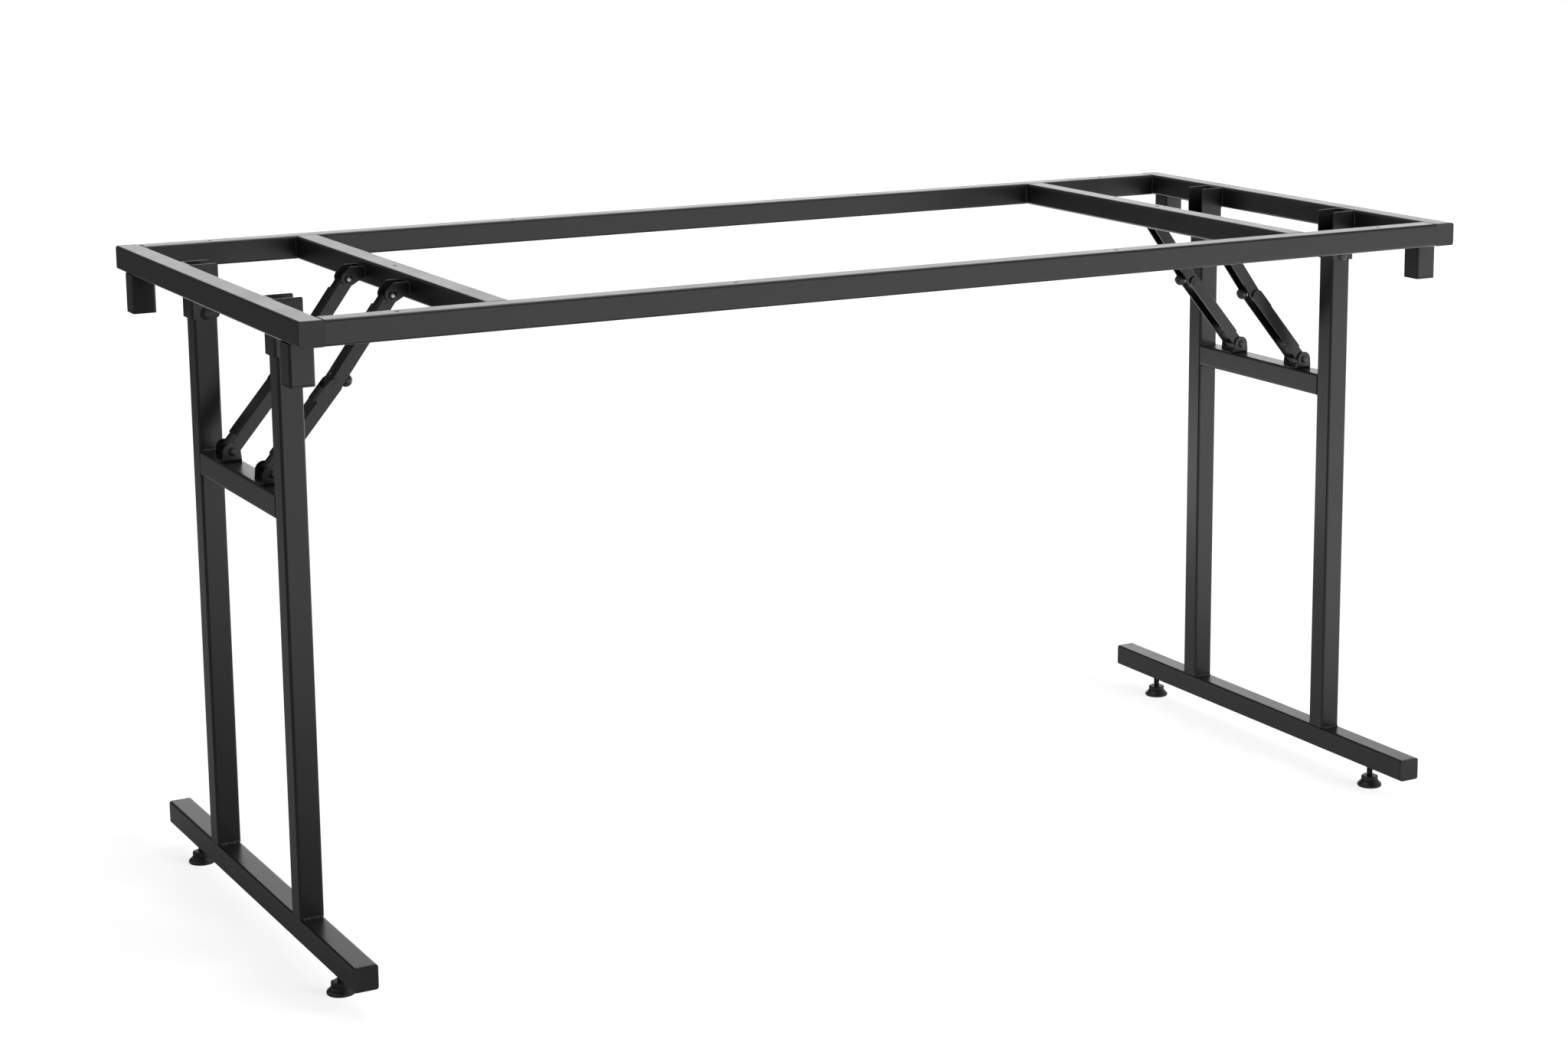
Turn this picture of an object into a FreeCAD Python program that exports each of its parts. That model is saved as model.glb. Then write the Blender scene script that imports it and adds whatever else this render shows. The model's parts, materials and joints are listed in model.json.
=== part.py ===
"""Folding table frame: a square-tube top frame on two fold-in legs, each held by two jointed stays.

Millimetres. X runs along the table, Y from front to rear, Z up. The origin is on the floor, under the middle.
The left front quarter is modelled, and the other quarters are its mirror images.
"""
import FreeCAD, Part
import os
import re
import Sketcher
from FreeCAD import Rotation, Vector

# Driving dimensions
SIZES = {
    # Whole frame
    "table_length": 1500,
    "table_depth": 650,
    "table_height": 750,
    # Square tube, and the plastic caps in its open ends
    "tube_width": 28,
    "tube_wall": 1.5,
    "tube_corner": 3,
    "cap_flange": 2.5,
    "cap_plug_depth": 12,
    "cap_plug_gap": 0.2,
    # Cross rails: from the end of the frame to the face that the leg looks at
    "cross_rail_inset": 212,
    # Screw holes for a table top
    "screw_hole_radius": 2.5,
    "outer_screw_inset": 110,
    "inner_screw_spacing": 500,
    # Corner stubs
    "stub_height": 46,
    "stub_setback": 34,
    # Leg brackets and pivots
    "bracket_sheet": 2,
    "bracket_height": 63,
    "bracket_top_gap": 1,
    "bracket_side_gap": 0.5,
    "bracket_back_gap": 1.5,
    "bracket_lip": 2,
    "bracket_corner": 5,
    "pivot_drop": 58,
    "pivot_radius": 4,
    "pivot_head_radius": 7,
    "pivot_head_height": 2.6,
    # Fits
    "running_clearance": 0.08,
    "seat_clearance": 0.05,
    "overcut": 1,
    # Legs
    "upright_spacing": 290,
    "crossbar_drop": 218,
    "foot_bar_length": 650,
    "foot_bar_clearance": 29,
    # Stays: pins, then channels
    "stay_spacing": 140,
    "stay_top_reach": 21,
    "stay_top_drop": 20.5,
    "stay_foot_rise": 12,
    "stay_sag": 4,
    "link_sheet": 2,
    "link_height": 16,
    "lower_link_width": 26,
    "link_side_gap": 0.6,
    "link_fork": 58,
    "fork_ear_radius": 12,
    "link_web_setback": 14,
    "ear_radius": 8.5,
    "ear_gap": 0.4,
    "ear_drop": 3,
    "stay_pin_radius": 3,
    "stay_head_radius": 5.5,
    "stay_head_height": 2.2,
    "mid_hole_clearance": 0.3,
    # Ball knobs
    "knob_radius": 7.5,
    "knob_gap": 0.4,
    "knob_stand": 2,
    "knob_setback": 12,
    "knob_neck_radius": 5,
    "knob_stud_radius": 2.5,
    "knob_head_height": 1.5,
    # Levelling feet
    "foot_inset": 80,
    "foot_radius": 16,
    "foot_rim": 3.5,
    "foot_base_height": 8,
    "foot_top_radius": 12,
    "foot_hex_radius": 11,
    "foot_hex_height": 6,
    "stud_radius": 4,
    "stud_engagement": 14,
    "tapped_collar_height": 6,
    "tapped_collar_wall": 2,
}

# Positions and lengths that follow from the driving dimensions, for the left front quarter
DERIVED = {
    "rail_axis_z": "table_height - tube_width / 2",
    "rail_bottom_z": "table_height - tube_width",
    "end_rail_x": "(tube_width - table_length) / 2",
    "side_rail_y": "(tube_width - table_depth) / 2",
    "cross_face_x": "cross_rail_inset - table_length / 2",
    "bracket_back_x": "tube_width - table_length / 2",
    "bracket_inner": "tube_width + 2 * bracket_side_gap",
    "bracket_outer": "bracket_inner + 2 * bracket_sheet",
    "bracket_reach": "bracket_sheet + bracket_back_gap + tube_width + bracket_lip",
    "pivot_offset": "bracket_sheet + bracket_back_gap + tube_width / 2",
    "pivot_x": "bracket_back_x + pivot_offset",
    "pivot_z": "table_height - pivot_drop",
    "upright_y": "0 - upright_spacing / 2",
    "foot_bar_top_z": "foot_bar_clearance + tube_width",
    "crossbar_top_z": "table_height - crossbar_drop",
    "stay_y": "0 - stay_spacing / 2",
    "stay_top_x": "cross_face_x - stay_top_reach",
    "stay_top_z": "table_height - stay_top_drop",
    "stay_foot_z": "crossbar_top_z + stay_foot_rise",
    "stay_run": "stay_top_x - pivot_x",
    "stay_rise": "stay_top_z - stay_foot_z",
    "stay_span": "sqrt(stay_run ^ 2 + stay_rise ^ 2)",
    "link_length": "sqrt(stay_span ^ 2 / 4 + stay_sag ^ 2)",
    "stay_angle": "atan2(stay_rise; stay_run) / 1 deg",
    "sag_angle": "atan2(stay_sag; stay_span / 2) / 1 deg",
    "link_radius": "link_height / 2",
    "web_inside": "link_radius - link_sheet",
    "lower_link_inner": "lower_link_width - 2 * link_sheet",
    "upper_link_width": "lower_link_inner - 2 * link_side_gap",
    "upper_link_inner": "upper_link_width - 2 * link_sheet",
    "upper_ear_inner": "upper_link_width + 2 * ear_gap",
    "upper_ear_outer": "upper_ear_inner + 2 * link_sheet",
    "lower_ear_inner": "lower_link_width + 2 * ear_gap",
    "lower_ear_outer": "lower_ear_inner + 2 * link_sheet",
    "knob_seat": "upper_link_inner / 2 - knob_gap",
    "knob_drop": "link_radius + max(knob_stand; sqrt(max(knob_radius ^ 2 - knob_seat ^ 2; 0)))",
    "outer_screw_x": "table_length / 2 - outer_screw_inset",
    "inner_screw_x": "inner_screw_spacing / 2",
    "foot_y": "foot_inset - foot_bar_length / 2",
    "foot_hex_top": "foot_base_height + foot_hex_height",
    "stud_top": "foot_bar_clearance + stud_engagement",
    "stud_hole": "stud_radius + running_clearance",
}

doc = FreeCAD.newDocument("folding_table_frame")
sheet = doc.addObject("Spreadsheet::Sheet", "Sizes")
for row, (alias, value) in enumerate(SIZES.items(), start=1):
    sheet.set(f"A{row}", alias)
    sheet.set(f"B{row}", str(value))
    sheet.setAlias(f"B{row}", alias)
doc.recompute()
derived = doc.addObject("App::VarSet", "Derived")
nodes = []


def formula(text):
    """Write out a size or derived name in full, as the expressions need it."""
    def full_name(match):
        word = match.group(0)
        if word in SIZES:
            return f"Sizes.{word}"
        return f"Derived.{word}" if word in DERIVED else word
    return re.sub(r"[a-z][a-z_]*[a-z]", full_name, text)


for quantity, text in DERIVED.items():
    derived.addProperty("App::PropertyFloat", quantity, "Derived")
    derived.setExpression(quantity, formula(text))
doc.recompute()


# Helpers that make one bound feature each

def bind(feature, **formulas):
    for prop, text in formulas.items():
        feature.setExpression(prop.replace("_", "."), formula(text))
    return feature


def place(feature, x="0", y="0", z="0", turn_y=None):
    """Bind a feature's position, and its turn about Y in degrees."""
    if turn_y is not None:
        feature.Placement.Rotation = Rotation(Vector(0, 1, 0), 10)
        feature.setExpression("Placement.Rotation.Angle", formula(turn_y))
    return bind(feature, Placement_Base_x=x, Placement_Base_y=y, Placement_Base_z=z)


def box(x, y, z, length, width, height):
    """A block from a corner (x, z), centred across Y on y."""
    block = doc.addObject("Part::Box", "Block")
    bind(block, Length=length, Width=width, Height=height)
    return place(block, x, f"{y} - ({width}) / 2", z)


def cylinder_y(x, z, radius, length, y="0"):
    """A round bar along Y, centred on y."""
    bar = doc.addObject("Part::Cylinder", "CrossBar")
    bar.Placement.Rotation = Rotation(Vector(1, 0, 0), -90)
    bind(bar, Radius=radius, Height=length)
    return place(bar, x, f"{y} - ({length}) / 2", z)


def cylinder_z(x, y, z, radius, height):
    bar = doc.addObject("Part::Cylinder", "Upright")
    bind(bar, Radius=radius, Height=height)
    return place(bar, x, y, z)


def cone(x, y, z, lower_radius, upper_radius, height, along=Vector(0, 0, 1)):
    taper = doc.addObject("Part::Cone", "Taper")
    taper.Placement.Rotation = Rotation(Vector(0, 0, 1), along)
    bind(taper, Radius1=lower_radius, Radius2=upper_radius, Height=height)
    return place(taper, x, y, z)


def fuse(label, *shapes):
    joined = doc.addObject("Part::MultiFuse", label)
    joined.Shapes = list(shapes)
    return joined


def cut(label, base, *tools):
    result = doc.addObject("Part::Cut", label)
    result.Base = base
    result.Tool = tools[0] if len(tools) == 1 else fuse(label + "_tools", *tools)
    return result


def group(label, *solids):
    bundle = doc.addObject("Part::Compound", label)
    bundle.Links = list(solids)
    return bundle


def mirror(label, source, across):
    image = doc.addObject("Part::Mirroring", label)
    image.Source = source
    image.Normal = across
    return image


def node(feature, label=None):
    """Mark a feature as one piece of the table, under its own name."""
    feature.Label = label or feature.Label
    nodes.append(feature)
    return feature


ACROSS_X = Vector(1, 0, 0)
ACROSS_Y = Vector(0, 1, 0)


def left_and_right(name, left):
    node(left, "left_" + name)
    node(mirror("right_" + name, left, ACROSS_X))


def four_images(name, first):
    """A left front piece and its images in the other three quarters."""
    rear = mirror("left_rear_" + name, first, ACROSS_Y)
    return {
        "left_front_": first,
        "left_rear_": rear,
        "right_front_": mirror("right_front_" + name, first, ACROSS_X),
        "right_rear_": mirror("right_rear_" + name, rear, ACROSS_X),
    }


def four_nodes(name, first):
    for corner, piece in four_images(name, first).items():
        node(piece, corner + name)


def one_node_of_four(label, first):
    node(group(label, *four_images(label, first).values()))


def origin_plane(body, role):
    return next(item for item in body.Origin.OriginFeatures if item.Role == role)


def rounded_square(sketch, width, radius):
    """A square with round corners, centred on the sketch's origin. Its two sizes are formulas."""
    side, round_ = 20.0, 2.0
    half, flat = side / 2, side / 2 - round_
    start = sketch.GeometryCount
    corners = [(flat, -flat), (flat, flat), (-flat, flat), (-flat, -flat)]
    sides = [
        ((-flat, -half), (flat, -half)),
        ((half, -flat), (half, flat)),
        ((flat, half), (-flat, half)),
        ((-half, flat), (-half, -flat)),
    ]
    for (x0, y0), (x1, y1) in sides:
        sketch.addGeometry(Part.LineSegment(Vector(x0, y0, 0), Vector(x1, y1, 0)))
    quarter = 1.5707963267948966
    for turn, (x, y) in enumerate(corners):
        circle = Part.Circle(Vector(x, y, 0), Vector(0, 0, 1), round_)
        sketch.addGeometry(Part.ArcOfCircle(circle, (turn - 1) * quarter, turn * quarter))
    for turn in range(4):
        arc = start + 4 + turn
        sketch.addConstraint(Sketcher.Constraint("Tangent", start + turn, 2, arc, 1))
        sketch.addConstraint(Sketcher.Constraint("Tangent", arc, 2, start + (turn + 1) % 4, 1))
    for arc in range(start + 5, start + 8):
        sketch.addConstraint(Sketcher.Constraint("Equal", start + 4, arc))
    bottom, right, top, left = range(start, start + 4)
    sketch.addConstraint(Sketcher.Constraint("Symmetric", bottom, 1, bottom, 2, -2))
    sketch.addConstraint(Sketcher.Constraint("Symmetric", left, 1, left, 2, -1))
    sketch.addConstraint(Sketcher.Constraint("Horizontal", top))
    sketch.addConstraint(Sketcher.Constraint("Vertical", right))
    across = sketch.addConstraint(Sketcher.Constraint("DistanceX", left, 1, right, 1, side))
    tall = sketch.addConstraint(Sketcher.Constraint("DistanceY", bottom, 1, top, 1, side))
    bend = sketch.addConstraint(Sketcher.Constraint("Radius", start + 4, round_))
    sketch.setExpression(f"Constraints[{across}]", formula(width))
    sketch.setExpression(f"Constraints[{tall}]", formula(width))
    sketch.setExpression(f"Constraints[{bend}]", formula(radius))


def new_sketch(body, plane):
    sketch = body.newObject("Sketcher::SketchObject", "Profile")
    sketch.AttachmentSupport = (origin_plane(body, plane), [""])
    sketch.MapMode = "FlatFace"
    return sketch


def pad(body, sketch, length, side="One side", backward=False):
    block = body.newObject("PartDesign::Pad", "Pad")
    block.Profile = sketch
    block.SideType = side
    block.Reversed = backward
    bind(block, Length=length)
    return block


def square_tube(label, plane, length):
    """A length of the square tube, centred on the plane that it crosses."""
    body = doc.addObject("PartDesign::Body", label)
    profile = new_sketch(body, plane)
    rounded_square(profile, "tube_width", "tube_corner")
    rounded_square(profile, "tube_width - 2 * tube_wall", "tube_corner - tube_wall")
    pad(body, profile, length, side="Symmetric")
    return body


ALONG_X = "YZ_Plane"
ALONG_Y = "XZ_Plane"
ALONG_Z = "XY_Plane"


def tube_cap(label, outward):
    """A plastic cap whose flange lies on a tube's end and whose plug goes inside it."""
    body = doc.addObject("PartDesign::Body", label)
    flange = new_sketch(body, "XY_Plane")
    rounded_square(flange, "tube_width", "tube_corner")
    pad(body, flange, "cap_flange")
    plug = new_sketch(body, "XY_Plane")
    rounded_square(plug, "tube_width - 2 * tube_wall - 2 * cap_plug_gap", "tube_corner - tube_wall")
    pad(body, plug, "cap_plug_depth", backward=True)
    body.Placement.Rotation = Rotation(Vector(0, 0, 1), outward)
    return body


def rivet(label, radius, length, head_radius, head_height):
    """A rivet along Y, centred on its length, with a head at each end."""
    shank = cylinder_y("0", "0", radius, length)
    front = cone("0", f"0 - ({length}) / 2", "0", head_radius, radius, head_height, Vector(0, -1, 0))
    rear = cone("0", f"({length}) / 2", "0", head_radius, radius, head_height, Vector(0, 1, 0))
    return fuse(label, shank, front, rear)


# Front and rear rails: tubes between the end rails, drilled from top to bottom for a table top
front_tube = square_tube("front_rail_tube", ALONG_X, "table_length - 2 * tube_width")
place(front_tube, y="side_rail_y", z="rail_axis_z")
rail_holes = []
for reach in ("outer_screw_x", "inner_screw_x"):
    for hole_x in (f"0 - {reach}", reach):
        hole = cylinder_z(hole_x, "side_rail_y", "rail_bottom_z - overcut", "screw_hole_radius",
                          "tube_width + 2 * overcut")
        rail_holes.append(hole)
front_rail = node(cut("front_rail", front_tube, *rail_holes))
node(mirror("rear_rail", front_rail, ACROSS_Y))

# End rails: tubes over the whole depth, less the caps in their ends
end_rail = square_tube("left_end_rail", ALONG_Y, "table_depth - 2 * cap_flange")
left_and_right("end_rail", place(end_rail, x="end_rail_x", z="rail_axis_z"))

rail_cap = tube_cap("rail_cap", Vector(0, -1, 0))
place(rail_cap, x="end_rail_x", y="cap_flange - table_depth / 2", z="rail_axis_z")
one_node_of_four("rail_end_caps", rail_cap)

# Cross rails: tubes between the front and rear rails, with one screw hole in the middle
cross_tube = square_tube("cross_rail_tube", ALONG_Y, "table_depth - 2 * tube_width")
place(cross_tube, x="cross_face_x + tube_width / 2", z="rail_axis_z")
cross_hole = cylinder_z("cross_face_x + tube_width / 2", "0", "rail_bottom_z - overcut",
                        "screw_hole_radius", "tube_width + 2 * overcut")
left_and_right("cross_rail", cut("left_cross_rail", cross_tube, cross_hole))

# Corner stubs: short tubes under the end rails, capped below
STUB_Y = "stub_setback + (tube_width - table_depth) / 2"
STUB_LENGTH = "stub_height - cap_flange"
stub = square_tube("left_front_stub", ALONG_Z, STUB_LENGTH)
place(stub, "end_rail_x", STUB_Y, f"rail_bottom_z - ({STUB_LENGTH}) / 2")
four_nodes("stub", stub)

stub_cap = tube_cap("stub_cap", Vector(0, 0, -1))
place(stub_cap, "end_rail_x", STUB_Y, f"rail_bottom_z - ({STUB_LENGTH})")
one_node_of_four("stub_caps", stub_cap)

# Leg brackets: folded channels, web on the end rail, cheeks on both sides of the upright
bracket_solid = fuse(
    "bracket_solid",
    box("0", "0", "0 - bracket_height", "bracket_reach - bracket_corner", "bracket_outer", "bracket_height"),
    box("0", "0", "bracket_corner - bracket_height", "bracket_reach", "bracket_outer",
        "bracket_height - bracket_corner"),
    cylinder_y("bracket_reach - bracket_corner", "bracket_corner - bracket_height", "bracket_corner",
               "bracket_outer"),
)
bracket_inside = box("bracket_sheet", "0", "0 - bracket_height - overcut", "bracket_reach", "bracket_inner",
                     "bracket_height + 2 * overcut")
bracket_hole = cylinder_y("pivot_offset", "bracket_top_gap - pivot_drop", "pivot_radius + seat_clearance",
                          "bracket_outer + 2 * overcut")
bracket = cut("left_front_leg_bracket", bracket_solid, bracket_inside, bracket_hole)
place(bracket, "bracket_back_x", "upright_y", "table_height - bracket_top_gap")
four_nodes("leg_bracket", bracket)

pivot_rivet = rivet("pivot_rivet", "pivot_radius", "bracket_outer", "pivot_head_radius", "pivot_head_height")
one_node_of_four("leg_pivot_rivets", place(pivot_rivet, "pivot_x", "upright_y", "pivot_z"))

# Uprights: tubes on the foot bar, with the top end rounded about the pivot
UPRIGHT_LENGTH = "pivot_z + tube_width / 2 - foot_bar_top_z"
upright_tube = square_tube("upright_tube", ALONG_Z, UPRIGHT_LENGTH)
place(upright_tube, "pivot_x", "upright_y", f"foot_bar_top_z + ({UPRIGHT_LENGTH}) / 2")
upright_corners = cut(
    "upright_corners",
    box("pivot_x - tube_width / 2 - overcut", "upright_y", "pivot_z", "tube_width + 2 * overcut",
        "tube_width + 2 * overcut", "tube_width / 2 + overcut"),
    cylinder_y("pivot_x", "pivot_z", "tube_width / 2", "tube_width + 4 * overcut", y="upright_y"),
)
upright_hole = cylinder_y("pivot_x", "pivot_z", "pivot_radius + running_clearance",
                          "tube_width + 2 * overcut", y="upright_y")
four_nodes("upright", cut("left_front_upright", upright_tube, upright_corners, upright_hole))

# Leg crossbars: tubes between the uprights
crossbar = square_tube("left_leg_crossbar", ALONG_Y, "upright_spacing - tube_width")
left_and_right("leg_crossbar", place(crossbar, x="pivot_x", z="crossbar_top_z - tube_width / 2"))

# Foot bars: tubes with a tapped collar drawn up inside for each levelling foot
foot_tube = square_tube("foot_bar_tube", ALONG_Y, "foot_bar_length - 2 * cap_flange")
place(foot_tube, x="pivot_x", z="foot_bar_clearance + tube_width / 2")
collars = []
stud_holes = []
for stud_y in ("foot_y", "0 - foot_y"):
    collar = cylinder_z("pivot_x", stud_y, "foot_bar_clearance + tube_wall / 2",
                        "stud_hole + tapped_collar_wall", "tapped_collar_height + tube_wall / 2")
    collars.append(collar)
    hole = cylinder_z("pivot_x", stud_y, "foot_bar_clearance - overcut", "stud_hole",
                      "tapped_collar_height + tube_wall + 2 * overcut")
    stud_holes.append(hole)
foot_bar = cut("left_foot_bar", fuse("foot_bar_collars", foot_tube, *collars), *stud_holes)
left_and_right("foot_bar", foot_bar)

foot_cap = tube_cap("foot_cap", Vector(0, -1, 0))
place(foot_cap, "pivot_x", "cap_flange - foot_bar_length / 2", "foot_bar_clearance + tube_width / 2")
foot_caps = group("left_foot_bar_caps", foot_cap, mirror("rear_foot_cap", foot_cap, ACROSS_Y))
left_and_right("foot_bar_caps", foot_caps)

# Levelling feet: a moulded base and hexagon on a threaded stud
hexagon = doc.addObject("Part::Prism", "Hexagon")
hexagon.Polygon = 6
bind(hexagon, Circumradius="foot_hex_radius", Height="foot_hex_height")
place(hexagon, z="foot_base_height")
foot = fuse(
    "left_front_levelling_foot",
    cylinder_z("0", "0", "0", "foot_radius", "foot_rim"),
    cone("0", "0", "foot_rim", "foot_radius", "foot_top_radius", "foot_base_height - foot_rim"),
    hexagon,
    cylinder_z("0", "0", "foot_base_height", "stud_radius", "stud_top - foot_base_height"),
)
four_nodes("levelling_foot", place(foot, "pivot_x", "foot_y"))

# Stay upper brackets: channels on the cross rails, with round ears about the stay's upper pin
upper_ears = fuse(
    "upper_ears",
    cylinder_y("0", "0", "ear_radius", "upper_ear_outer"),
    box("0", "0", "0 - ear_drop", "stay_top_reach", "upper_ear_outer", "ear_radius + ear_drop"),
)
upper_ear_inside = box("0 - ear_radius - overcut", "0", "0 - ear_radius - overcut",
                       "ear_radius + overcut + stay_top_reach - link_sheet", "upper_ear_inner",
                       "2 * ear_radius + 2 * overcut")
upper_ear_hole = cylinder_y("0", "0", "stay_pin_radius + seat_clearance", "upper_ear_outer + 2 * overcut")
upper_bracket = cut("left_front_stay_upper_bracket", upper_ears, upper_ear_inside, upper_ear_hole)
four_nodes("stay_upper_bracket", place(upper_bracket, "stay_top_x", "stay_y", "stay_top_z"))

upper_rivet = rivet("upper_rivet", "stay_pin_radius", "upper_ear_outer", "stay_head_radius",
                    "stay_head_height")
one_node_of_four("stay_upper_rivets", place(upper_rivet, "stay_top_x", "stay_y", "stay_top_z"))

# Stay lower brackets: channels on top of the leg crossbars, with round ears about the stay's lower pin
lower_ears = fuse(
    "lower_ears",
    cylinder_y("0", "0", "ear_radius", "lower_ear_outer"),
    box("0 - ear_radius", "0", "0 - stay_foot_rise", "2 * ear_radius", "lower_ear_outer", "stay_foot_rise"),
)
lower_ear_inside = box("0 - ear_radius - overcut", "0", "link_sheet - stay_foot_rise",
                       "2 * ear_radius + 2 * overcut", "lower_ear_inner",
                       "stay_foot_rise + ear_radius + overcut")
lower_ear_hole = cylinder_y("0", "0", "stay_pin_radius + seat_clearance", "lower_ear_outer + 2 * overcut")
lower_bracket = cut("left_front_stay_lower_bracket", lower_ears, lower_ear_inside, lower_ear_hole)
four_nodes("stay_lower_bracket", place(lower_bracket, "pivot_x", "stay_y", "stay_foot_z"))

lower_rivet = rivet("lower_rivet", "stay_pin_radius", "lower_ear_outer", "stay_head_radius",
                    "stay_head_height")
place(lower_rivet, "pivot_x", "stay_y", "stay_foot_z")
lower_rivets = group("left_stay_lower_rivets", lower_rivet,
                     mirror("rear_lower_rivet", lower_rivet, ACROSS_Y))
left_and_right("stay_lower_rivets", lower_rivets)


# Stay links: channels with round ends about their pins, the web on the upper side

def channel(label, start_x, width, inner):
    """A solid with the link's outline, and the block that hollows it from below."""
    outline = fuse(
        label + "_outline",
        box(start_x, "0", "0 - link_radius", "link_length", width, "link_height"),
        cylinder_y(start_x, "0", "link_radius", width),
        cylinder_y(f"{start_x} + link_length", "0", "link_radius", width),
    )
    hollow = box(f"{start_x} - link_radius - overcut", "0", "0 - link_radius - overcut",
                 "link_length + link_height + 2 * overcut", inner, "link_radius + overcut + web_inside")
    return outline, hollow


def web_gap(start_x, length, inner):
    """A block that takes the web away between the flanges."""
    return box(start_x, "0", "0 - overcut", length, inner, "link_radius + 2 * overcut")


UPPER_TURN = "0 - stay_angle - sag_angle"
LOWER_TURN = "sag_angle - stay_angle"
KNOB_X = "knob_setback - link_length"

upper_outline, upper_hollow = channel("upper_link", "0 - link_length", "upper_link_width", "upper_link_inner")
upper_link = cut(
    "left_front_upper_link",
    upper_outline,
    upper_hollow,
    web_gap("0 - link_web_setback", "link_web_setback + link_radius + overcut", "upper_link_inner"),
    cylinder_y("0", "0", "stay_pin_radius + running_clearance", "upper_link_width + 2 * overcut"),
    cylinder_y("0 - link_length", "0", "stay_pin_radius + mid_hole_clearance",
               "upper_link_width + 2 * overcut"),
    cylinder_z(KNOB_X, "0", "web_inside - overcut", "knob_stud_radius + seat_clearance",
               "link_sheet + 2 * overcut"),
)
four_nodes("upper_link", place(upper_link, "stay_top_x", "stay_y", "stay_top_z", UPPER_TURN))

# Ball knobs: on the underside of the upper links, riveted through the web
ball = doc.addObject("Part::Sphere", "Ball")
bind(ball, Radius="knob_radius")
place(ball, KNOB_X, "0", "0 - knob_drop")
knob = fuse(
    "left_front_knob",
    ball,
    cylinder_z(KNOB_X, "0", "0 - knob_drop", "knob_neck_radius", "knob_drop + web_inside"),
    cylinder_z(KNOB_X, "0", "0", "knob_stud_radius", "link_radius + knob_head_height / 2"),
    cone(KNOB_X, "0", "link_radius", "2 * knob_stud_radius", "knob_stud_radius", "knob_head_height"),
)
four_nodes("knob", place(knob, "stay_top_x", "stay_y", "stay_top_z", UPPER_TURN))

lower_outline, lower_hollow = channel("lower_link", "0", "lower_link_width", "lower_link_inner")
fork_ears = cylinder_y("link_length", "link_radius - fork_ear_radius", "fork_ear_radius", "lower_link_width")
fork_inside = box("link_length - link_fork", "0", "link_radius - 2 * fork_ear_radius - overcut",
                  "link_fork + fork_ear_radius + overcut", "lower_link_inner",
                  "2 * fork_ear_radius + 2 * overcut")
lower_link = cut(
    "left_front_lower_link",
    fuse("lower_link_solid", lower_outline, fork_ears),
    lower_hollow,
    fork_inside,
    web_gap("0 - link_radius - overcut", "link_radius + overcut + link_web_setback", "lower_link_inner"),
    cylinder_y("0", "0", "stay_pin_radius + running_clearance", "lower_link_width + 2 * overcut"),
    cylinder_y("link_length", "0", "stay_pin_radius + seat_clearance", "lower_link_width + 2 * overcut"),
)
four_nodes("lower_link", place(lower_link, "pivot_x", "stay_y", "stay_foot_z", LOWER_TURN))

# Mid-hinge rivets: one in each flange of the fork, level with its inner face
near_rivet = fuse(
    "near_mid_rivet",
    cylinder_y("link_length", "0", "stay_pin_radius", "link_sheet",
               y="(link_sheet - lower_link_width) / 2"),
    cone("link_length", "0 - lower_link_width / 2", "0", "stay_head_radius", "stay_pin_radius",
         "stay_head_height", Vector(0, -1, 0)),
)
mid_rivets = group("left_front_mid_rivets", near_rivet, mirror("far_mid_rivet", near_rivet, ACROSS_Y))
four_nodes("mid_rivets", place(mid_rivets, "pivot_x", "stay_y", "stay_foot_z", LOWER_TURN))

# Check every feature, then write one file per piece
doc.recompute()
for feature in doc.Objects:
    if "Invalid" in feature.State or "Error" in feature.State:
        raise RuntimeError(f"{feature.Label} did not build: {feature.State}")
os.makedirs("parts", exist_ok=True)
for piece in nodes:
    if piece.Shape.isNull() or not piece.Shape.isValid():
        raise RuntimeError(f"{piece.Label} is not a valid solid")
    piece.Shape.exportStep(f"parts/{piece.Label}.step")
print(len(nodes), "pieces written")
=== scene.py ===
"""Folding table frame of black coated square tube: a top frame on two fold-in legs with jointed stays.

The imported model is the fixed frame. Lengths in this file are millimetres, and MM turns them into
Blender's metres. The left front quarter is modelled, and the other quarters are its mirror images.
"""
import json
import math

import bmesh
import bpy
from mathutils import Matrix, Vector


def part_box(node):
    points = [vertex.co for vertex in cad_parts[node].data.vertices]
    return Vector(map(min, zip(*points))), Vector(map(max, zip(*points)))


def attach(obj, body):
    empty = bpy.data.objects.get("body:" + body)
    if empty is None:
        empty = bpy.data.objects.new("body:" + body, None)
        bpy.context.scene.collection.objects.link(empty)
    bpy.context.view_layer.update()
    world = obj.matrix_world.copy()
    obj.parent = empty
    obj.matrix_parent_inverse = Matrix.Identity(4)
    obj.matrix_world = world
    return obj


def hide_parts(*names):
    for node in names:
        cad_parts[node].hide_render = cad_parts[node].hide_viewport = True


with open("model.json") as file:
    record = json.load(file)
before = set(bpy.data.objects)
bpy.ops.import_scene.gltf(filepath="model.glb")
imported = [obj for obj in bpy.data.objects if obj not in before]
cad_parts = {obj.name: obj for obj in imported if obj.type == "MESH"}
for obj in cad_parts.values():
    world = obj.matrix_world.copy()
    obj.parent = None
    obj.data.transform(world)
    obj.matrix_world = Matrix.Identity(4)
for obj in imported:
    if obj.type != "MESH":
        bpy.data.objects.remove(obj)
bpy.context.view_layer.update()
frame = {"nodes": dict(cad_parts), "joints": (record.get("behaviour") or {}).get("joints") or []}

nodes = frame["nodes"]
MM = 0.001

# Rails: welded square steel tube, 28 mm wide with a 1.5 mm wall, coated black after welding.
# The coat is an even satin film, so the tubes keep their own solids and only take its finish.


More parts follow.
